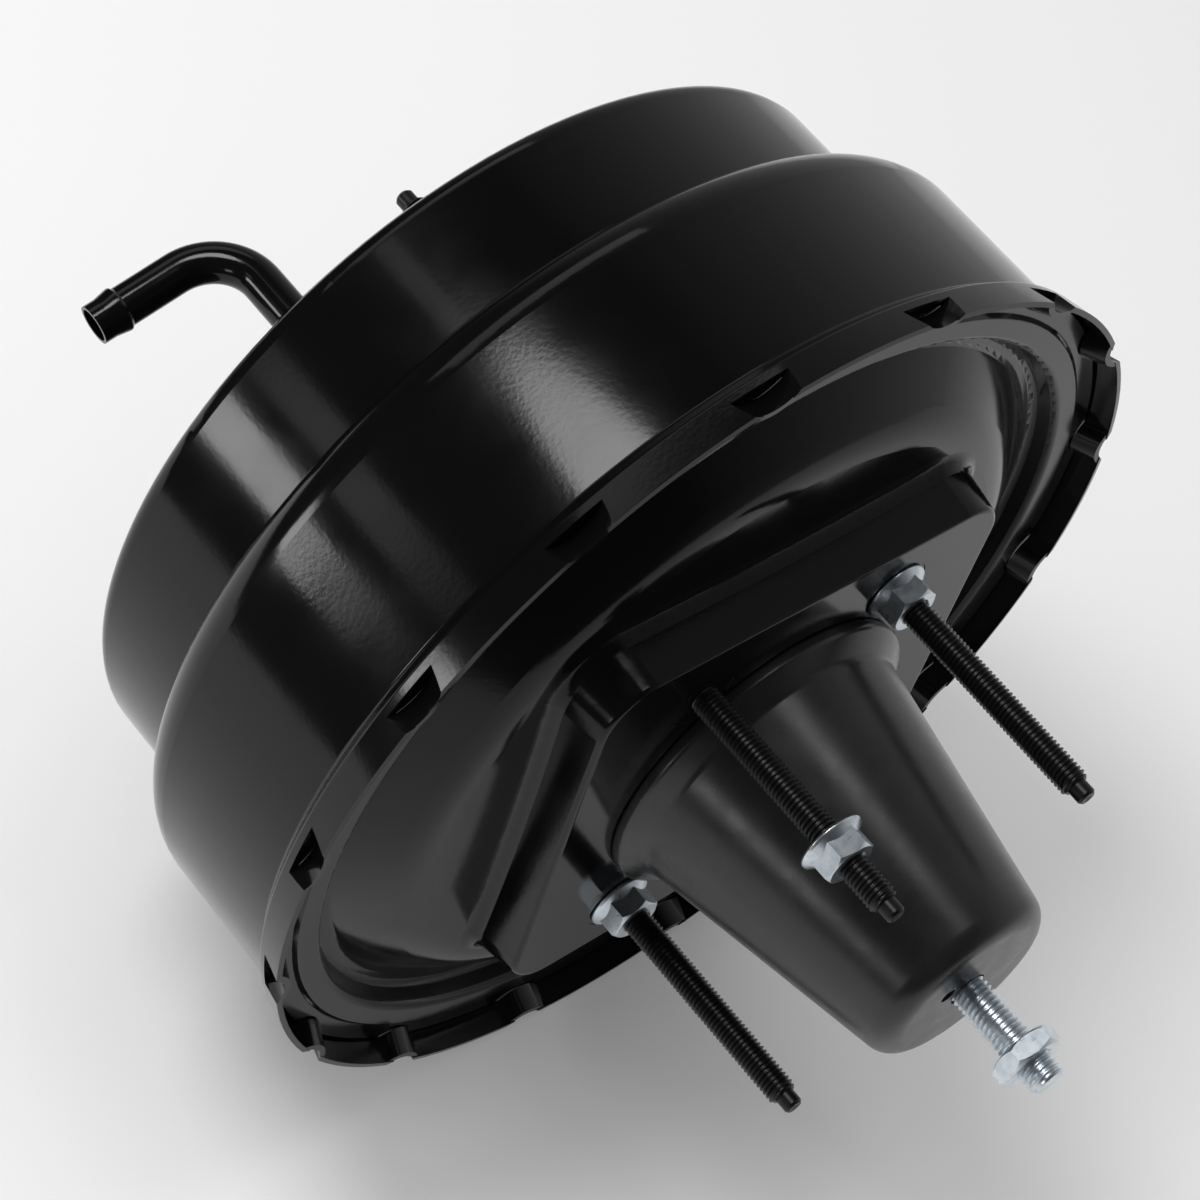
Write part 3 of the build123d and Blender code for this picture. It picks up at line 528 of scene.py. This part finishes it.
def clean(piece, smooth_angle=32):
    """Merges doubles, turns every face outwards and smooths all but the sharp edges."""
    edit_all(piece)
    bpy.ops.mesh.remove_doubles(threshold=double_within)
    bpy.ops.mesh.normals_make_consistent(inside=False)
    bpy.ops.object.mode_set(mode="OBJECT")
    bpy.ops.object.shade_smooth_by_angle(angle=radians(smooth_angle))


def screw(piece, steps, settings):
    """Winds a piece's section round the Y axis."""
    full_turn = {"axis": "Y", "angle": 2 * pi, "steps": steps, "render_steps": steps}
    apply_modifier(piece, "SCREW", {**full_turn, **settings})


def lathe(name, points, steps):
    """A half section of (radius, y) points spun round the Y axis."""
    piece = draw_section(name, points)
    screw(piece, steps, {"use_merge_vertices": True, "merge_threshold": axis_within})
    clean(piece)
    return piece


print("doubles are merged within, mm:", double_within / mm)

# %% [markdown]
# ### Placing and finishing
# A finished piece's object stays at the origin and its place goes into its mesh, as with a CAD
# node. What repeats is modelled once and copied, each copy with its own mesh.

# %% Place, copy and finish


def move_to(piece, x=0.0, y=0.0, z=0.0, turn=0.0):
    """Turns a piece about Y, moves it, in millimetres and degrees, and puts that in its mesh."""
    place = Matrix.Translation(Vector((x, y, z)) * mm) @ Matrix.Rotation(radians(turn), 4, "Y")
    piece.data.transform(place)
    piece.data.update()


def join(pieces, name):
    """Several pieces made one."""
    bpy.ops.object.select_all(action="DESELECT")
    for piece in pieces:
        piece.select_set(True)
    bpy.context.view_layer.objects.active = pieces[0]
    bpy.ops.object.join()
    pieces[0].name = name
    pieces[0].data.name = name
    return pieces[0]


def copies_at(piece, places, name):
    """A piece's copies at (x, z) places, in millimetres, joined; the piece itself goes."""
    copies = []
    for x, z in places:
        copy = piece.copy()
        copy.data = piece.data.copy()
        bpy.context.collection.objects.link(copy)
        move_to(copy, x=x, z=z)
        copies.append(copy)
    bpy.data.objects.remove(piece)
    return join(copies, name)


def finish_as(piece, slot):
    """Gives a piece the finish of one of the record's material slots."""
    piece.data.materials.clear()
    piece.data.materials.append(finishes[slot])


print("slots to finish with:", sorted(finishes))

# %% [markdown]
# ## Threads
# A real thread is one ridge wound round the rod. The section of a single pitch, root, flank, crest
# and flank, is screwed along the axis, and the rough ends are then cut square with bisect, which
# also caps them. Near its end a thread is pressed down to its core, as a rolled one is, and what
# that leaves open is filled.

# %% Thread helpers
root_end, crest_start, crest_end, root_start = 0.14, 0.44, 0.58, 0.88
spare_turns = 4
end_dip = 0.15
thread_smooth = 28


def fill_open(piece, sides):
    """Closes the holes that have up to so many sides, or every hole for 0."""
    edit_all(piece)
    bpy.ops.mesh.fill_holes(sides=sides)
    bpy.ops.object.mode_set(mode="OBJECT")


def cut_square(piece, y, keep_above):
    """Cuts a piece at a plane across the axis and caps the cut."""
    edit_all(piece)
    bpy.ops.mesh.bisect(
        plane_co=(0.0, y * mm, 0.0),
        plane_no=(0.0, 1.0, 0.0),
        use_fill=True,
        clear_inner=keep_above,
        clear_outer=not keep_above,
    )
    bpy.ops.object.mode_set(mode="OBJECT")


def thread(name, radius, core, pitch, y_low, y_high, run_out, steps=40):
    """A threaded rod about the Y axis from y_low to y_high, chamfered over run_out at both ends."""
    section = [
        (core, 0.0),
        (core, root_end * pitch),
        (radius, crest_start * pitch),
        (radius, crest_end * pitch),
        (core, root_start * pitch),
        (core, pitch),
    ]
    piece = draw_section(name, section)
    turns = int((y_high - y_low) / pitch) + spare_turns
    screw(piece, steps, {"screw_offset": pitch * mm, "iterations": turns})
    move_to(piece, y=y_low - spare_turns / 2 * pitch)
    clean(piece)
    cut_square(piece, y_low, True)
    cut_square(piece, y_high, False)
    for vertex in piece.data.vertices:
        y = vertex.co.y / mm
        reach = min(y - y_low, y_high - y)
        limit = core - end_dip + max(reach, 0.0) * (radius - core + end_dip) / run_out
        distance = (vertex.co.x ** 2 + vertex.co.z ** 2) ** 0.5 / mm
        if distance > limit:
            vertex.co.x *= limit / distance
            vertex.co.z *= limit / distance
        vertex.co.y = min(max(y, y_low), y_high) * mm
    clean(piece, thread_smooth)
    fill_open(piece, 0)
    clean(piece, thread_smooth)
    return piece


print("share of a pitch that is crest:", round(crest_end - crest_start, 2))

# %% [markdown]
# ### One stud
# An M8 stud is pressed into a shell from inside and held by its wide head. It ends in a dog
# point, the short plain nose that helps a nut start.

# %% Model one stud
m8_radius = 3.95
m8_core = 3.3
m8_pitch = 1.25
m8_run_out = 0.9
dog_length = 4.2
dog_radius = 2.6
dog_inset = 0.4
head_radius = 7.5
head_height = 3.0
neck_radius = 4.4


def dog_point(name, radius, y_start, y_tip):
    """The plain nose at a stud's end, with a dished and chamfered tip."""
    way = 1 if y_tip > y_start else -1
    section = [
        (0.0, y_start - way * dog_inset),
        (radius, y_start - way * dog_inset),
        (radius, y_tip - way * 0.7),
        (radius - 0.6, y_tip),
        (radius - 1.3, y_tip),
        (0.0, y_tip - way * 0.5),
    ]
    return lathe(name, section, 32)


def model_stud(name, y_head, y_seat, y_tip):
    """One stud on the axis: pressed head and shank, thread, and dog point."""
    way = 1 if y_tip > y_seat else -1
    dog_start = y_tip - way * dog_length
    low, high = sorted((y_seat, dog_start))
    rod = thread(name, m8_radius, m8_core, m8_pitch, low, high, m8_run_out)
    nose = dog_point(name + "_nose", dog_radius, dog_start, y_tip)
    head_section = [
        (0.0, y_head - way * head_height),
        (head_radius - 0.3, y_head - way * head_height),
        (head_radius, y_head - way * (head_height - 0.4)),
        (head_radius, y_head - way * 0.2),
        (head_radius - 0.3, y_head),
        (neck_radius, y_head),
        (neck_radius, y_seat),
        (0.0, y_seat),
    ]
    head = lathe(name + "_head", head_section, 48)
    return join([rod, nose, head], name)


print("stud thread, mm:", 2 * m8_radius, "over a core of", 2 * m8_core)

# %% [markdown]
# ### The firewall studs
# Four studs stand at the corners of the square face, from the shell to the pedal side. One is
# modelled and copied to the four corners.

# %% Firewall studs
stud_pitch_x = 64.4
stud_pitch_z = 91.2
stud_tip = -72.0
stud_head = 1.8
shell_face = 0.2
stud_places = [
    (side_x * stud_pitch_x / 2, side_z * stud_pitch_z / 2)
    for side_x in (-1, 1)
    for side_z in (-1, 1)
]
first_stud = model_stud("firewall_stud_threads", stud_head, shell_face, stud_tip)
stud_group = copies_at(first_stud, stud_places, "firewall_stud_threads")
finish_as(stud_group, "black_steel")
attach(stud_group, "housing")
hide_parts("firewall_studs")
print("stud faces:", len(stud_group.data.polygons))

# %% [markdown]
# ### The master cylinder studs
# Two more M8 studs point the other way, above and below the bore in the front face.

# %% Master cylinder studs
cylinder_pitch = 95.2
pad_y = 134.5
pad_thickness = 4.0
front_tip = 163.7
front_places = [(0.0, side * cylinder_pitch / 2) for side in (-1, 1)]
front_stud = model_stud("cylinder_stud_threads", pad_y - pad_thickness, pad_y, front_tip)
front_group = copies_at(front_stud, front_places, "cylinder_stud_threads")
finish_as(front_group, "black_steel")
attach(front_group, "housing")
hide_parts("cylinder_studs")
print("front stud faces:", len(front_group.data.polygons))

# %% [markdown]
# ## Nuts
# A cold-forged nut is a hexagon whose corners are rounded off by a turned crown. The same is done
# here: a six-sided cylinder is intersected with a turned blank, joined with its flange and bored.
# Its edges are bevelled by about a quarter of a millimetre, so that they catch the light, and
# weighted normals keep its flats flat to the eye.

# %% Nut helpers
along_y = (pi / 2, 0.0, 0.0)
edge_bevel = 0.22
bevel_over = radians(28)
nut_smooth = 24


def boolean(piece, other, operation):
    """Combines two pieces and removes the second."""
    apply_modifier(piece, "BOOLEAN", {"operation": operation, "solver": "EXACT", "object": other})
    bpy.data.objects.remove(other)


def hexagon(name, across_flats, y_low, y_high, turn):
    """A six-sided bar along Y."""
    bpy.ops.object.select_all(action="DESELECT")
    corner = across_flats / 3 ** 0.5
    length = (y_high - y_low) * mm
    bpy.ops.mesh.primitive_cylinder_add(
        vertices=6, radius=corner * mm, depth=length, rotation=along_y
    )
    piece = bpy.context.object
    piece.name = name
    bpy.ops.object.transform_apply(location=False, rotation=True, scale=True)
    move_to(piece, y=(y_low + y_high) / 2, turn=turn)
    return piece


def soften(piece):
    """Bevels every sharp edge of a piece a little."""
    settings = {"width": edge_bevel * mm, "segments": 2, "limit_method": "ANGLE"}
    settings["angle_limit"] = bevel_over
    apply_modifier(piece, "BEVEL", settings)
    clean(piece, nut_smooth)


def flatten_shading(piece):
    """Weighs the normals by area, so that the flats are shaded flat."""
    apply_modifier(piece, "WEIGHTED_NORMAL", {"weight": 100, "keep_sharp": True})


print("bevel, mm:", edge_bevel)

# %% [markdown]
# ### One flange nut
# The blank is wider than the hexagon except at its crown, so it only cuts the corners there. The
# flange is a shallow turned cone, and the bore has a countersink at the crown's end.

# %% Model one flange nut
flange_radius = 9.0
nut_height = 8.0
nut_flats = 13.0
hexagon_start = 0.8
past_nut = 1.0


def flange_nut(name, turn):
    """A flange nut that sits at y = 0 and points towards -Y."""
    corner = nut_flats / 3 ** 0.5
    flat = nut_flats / 2
    hexed = hexagon(name, nut_flats, -nut_height, -hexagon_start, turn)
    crown = [
        (0.0, 0.0),
        (corner + past_nut, 0.0),
        (corner + past_nut, 1.5 - nut_height),
        (corner, 0.9 - nut_height),
        (flat - 0.2, -nut_height),
        (0.0, -nut_height),
    ]
    boolean(hexed, lathe("crown", rounded(crown, [0, 0, 0.4, 0.3]), 48), "INTERSECT")
    flange = [
        (0.0, 0.0),
        (flange_radius - 0.3, 0.0),
        (flange_radius, -0.6),
        (flange_radius - 0.25, -1.2),
        (flat + 0.6, -2.4),
        (flat - 0.6, -3.4),
        (0.0, -3.4),
    ]
    boolean(hexed, lathe("flange", rounded(flange, [0.2, 0.4, 0.3, 1.0, 0]), 64), "UNION")
    bore_radius = m8_core + 0.1
    countersink = m8_radius + 0.35
    bore = [
        (0.0, past_nut),
        (bore_radius, past_nut),
        (bore_radius, 1.2 - nut_height),
        (countersink, -nut_height),
        (countersink, -nut_height - past_nut),
        (0.0, -nut_height - past_nut),
    ]
    boolean(hexed, lathe("bore", bore, 40), "DIFFERENCE")
    soften(hexed)
    return hexed


print("nut corner to corner, mm:", round(2 * nut_flats / 3 ** 0.5, 2))

# %% [markdown]
# ### Firewall nuts
# Three nuts are run down on the square face. The fourth is left half way along its stud, as
# the booster is shipped. Each was stopped at its own angle.

# %% Firewall nuts
loose_distance = 47.6
loose_corner = (-1, 1)
nut_turns = {(-1, -1): 12, (-1, 1): 20, (1, -1): 5, (1, 1): 18}
nuts = []
for (side_x, side_z), nut_turn in nut_turns.items():
    loose = (side_x, side_z) == loose_corner
    nut = flange_nut("firewall_nut", nut_turn)
    seat = shell_face - (loose_distance if loose else 0.0)
    move_to(nut, x=side_x * stud_pitch_x / 2, y=seat, z=side_z * stud_pitch_z / 2)
    nuts.append(nut)
nut_group = join(nuts, "firewall_flange_nuts")
flatten_shading(nut_group)
finish_as(nut_group, "zinc_plate")
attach(nut_group, "housing")
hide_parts("firewall_nuts")
print("nut faces:", len(nut_group.data.polygons))

# %% [markdown]
# ## The pedal pushrod
# The rod ends in a ball inside the valve plunger and in an M10 thread outside the boot, where the
# pedal's yoke is screwed on and locked with the thin nut. Ball, neck and shank are one turned
# section, and the thread is wound onto its end.

# %% Pushrod
ball_y = 8.0
ball_radius = 6.0
ball_sweep = 143
ball_steps = 16
shank_radius = 4.9
rod_radius = 5.0
rod_tip = -113.7
rod_run_out = 1.1
thread_from = -70.0
thread_radius = rod_radius - 0.03
m10_pitch = 1.5
m10_core = 4.15
ball_section = []
for step in range(ball_steps + 1):
    angle = radians(90 - step * ball_sweep / ball_steps)
    ball_section.append((max(ball_radius * cos(angle), 0.0), ball_y + ball_radius * sin(angle)))
neck = [(3.6, -4.8), (4.6, -6.0), (shank_radius, -7.0)]
shank_end = [(shank_radius, thread_from - 0.5), (0.0, thread_from - 0.5)]
shank_piece = lathe("pushrod_shank", ball_section + neck + shank_end, 48)
rod_ends = (rod_tip, thread_from)
rod_thread = thread(
    "pushrod_thread", thread_radius, m10_core, m10_pitch, *rod_ends, rod_run_out, 48
)
pushrod = join([rod_thread, shank_piece], "pedal_pushrod")
finish_as(pushrod, "zinc_plate")
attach(pushrod, "input_rod")
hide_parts("input_pushrod")
print("pushrod faces:", len(pushrod.data.polygons))

# %% [markdown]
# ### The jam nut
# A thin hexagon nut, chamfered on both faces, locks the pedal's yoke on the pushrod. It is made as
# the flange nuts are: a hexagon is intersected with a turned blank and then bored.

# %% Jam nut
jam_flats = 17.0
jam_low = -107.75
jam_high = -102.25
jam_turn = 14
jam_corner = jam_flats / 3 ** 0.5 + 0.1
jam_face = jam_flats / 2 - 0.3
jam_bore_radius = m10_core + 0.1
jam_countersink = rod_radius + 0.7
jam = hexagon("pushrod_jam_nut", jam_flats, jam_low, jam_high, jam_turn)
blank = [
    (0.0, jam_low),
    (jam_face, jam_low),
    (jam_corner, jam_low + 1.3),
    (jam_corner, jam_high - 1.3),
    (jam_face, jam_high),
    (0.0, jam_high),
]
boolean(jam, lathe("blank", rounded(blank, [0.2, 0.4, 0.4, 0.2]), 64), "INTERSECT")
jam_bore = [
    (0.0, jam_low - past_nut),
    (jam_countersink, jam_low - past_nut),
    (jam_countersink, jam_low),
    (jam_bore_radius, jam_low + 1.2),
    (jam_bore_radius, jam_high - 1.2),
    (jam_countersink, jam_high),
    (jam_countersink, jam_high + past_nut),
    (0.0, jam_high + past_nut),
]
boolean(jam, lathe("jam_bore", jam_bore, 48), "DIFFERENCE")
soften(jam)
flatten_shading(jam)
finish_as(jam, "zinc_plate")
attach(jam, "input_rod")
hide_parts("jam_nut")
print("jam nut faces:", len(jam.data.polygons))

# %% [markdown]
# ## The dust boot
# A smooth tapered rubber boot keeps dirt out of the air inlet. It is turned as a skin, thickened
# inwards with Solidify, and its vent is cut with a boolean. As the pedal goes down the boot
# folds up.

# %% Dust boot
boot_end = 83.0
boot_wall = 2.4
boot_skin = [
    (34.0, shell_face),
    (45.9, shell_face),
    (45.9, -3.0),
    (40.2, -7.5),
    (26.4, -boot_end),
    (5.3, -boot_end),
]
boot_corners = [0.8, 1.6, 3.0, 7.0]
boot = lathe("rubber_dust_boot", rounded(boot_skin, boot_corners, 8), 160)
inwards = {"thickness": boot_wall * mm, "offset": -1.0, "use_even_offset": True}
apply_modifier(boot, "SOLIDIFY", inwards)
print("boot skin faces:", len(boot.data.polygons))

# %% [markdown]
# ### The vent
# A small hole in the boot's end lets air in and out as it folds. It could be left as a face
# that is deleted, but a cylinder that is subtracted also cuts the wall of the hole.

# %% Vent in the boot's end
vent_angle = radians(153)
vent_reach = 9.6
vent_radius = 2.2
vent_depth = 8.0
vent_y = 1.0 - boot_end
vent_x = vent_reach * cos(vent_angle)
vent_z = vent_reach * sin(vent_angle)
bpy.ops.object.select_all(action="DESELECT")
bpy.ops.mesh.primitive_cylinder_add(
    vertices=24,
    radius=vent_radius * mm,
    depth=vent_depth * mm,
    location=(vent_x * mm, vent_y * mm, vent_z * mm),
    rotation=along_y,
)
vent = bpy.context.object
bpy.ops.object.transform_apply(location=True, rotation=True, scale=True)
boolean(boot, vent, "DIFFERENCE")
clean(boot, 40)
print("boot faces:", len(boot.data.polygons))

# %% [markdown]
# ### Placing the boot
# The boot stays on the housing and takes the place of its CAD node.

# %% Dress the boot
stroke = 32.0
finish_as(boot, "boot_rubber")
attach(boot, "housing")
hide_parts("dust_boot")
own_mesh(boot)

# %% [markdown]
# ## Springs that shorten
# The return spring and the valve spring are squeezed when the pedal goes down. Each is wound
# with the Screw modifier between the same ends as its CAD node, and is attached to its body.

# %% Spring helper
wire_sides = 16
coil_steps = 64


def coil_spring(name, node, wire_radius, low_radius, high_radius, turns):
    """A spring wound about Y between a CAD node's ends, in millimetres."""
    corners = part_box(node)
    low = corners[0][1] / mm + wire_radius
    high = corners[1][1] / mm - wire_radius
    bpy.ops.object.select_all(action="DESELECT")
    bpy.ops.mesh.primitive_circle_add(
        vertices=wire_sides, radius=wire_radius * mm, location=(low_radius * mm, 0.0, 0.0)
    )
    piece = bpy.context.object
    piece.name = name
    piece.data.name = name
    bpy.ops.object.transform_apply(location=True)
    rise = (high - low) / turns * mm
    screw(piece, coil_steps, {"screw_offset": rise, "iterations": turns})
    move_to(piece, y=low)
    for vertex in piece.data.vertices:
        up = min(max((vertex.co.y / mm - low) / (high - low), 0.0), 1.0)
        out = (vertex.co.x ** 2 + vertex.co.z ** 2) ** 0.5
        scale = 1.0 + up * (high_radius - low_radius) * mm / out
        vertex.co.x *= scale
        vertex.co.z *= scale
    fill_open(piece, wire_sides)
    clean(piece, 50)
    finish_as(piece, "spring_steel")
    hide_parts(node)
    return piece, corners


print("faces per turn of a spring:", wire_sides * coil_steps)

# %% Springs
valve_stroke = 2.0
# Piece, CAD node, wire radius, coil radius at the low end and at the high end, turns,
# body, joint, travel; all sizes in millimetres.
springs = [
    ("wound_return_spring", "return_spring", 2.0, 33.0, 36.5, 5,
     "power_piston", "piston_travel", stroke),
    ("wound_valve_spring", "valve_spring", 0.8, 8.2, 8.2, 4,
     "control_valve", "valve_travel", valve_stroke),
]
for name, node, wire_radius, low_radius, high_radius, turns, body, joint, travel in springs:
    spring, corners = coil_spring(name, node, wire_radius, low_radius, high_radius, turns)
    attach(spring, body)
    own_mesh(spring)
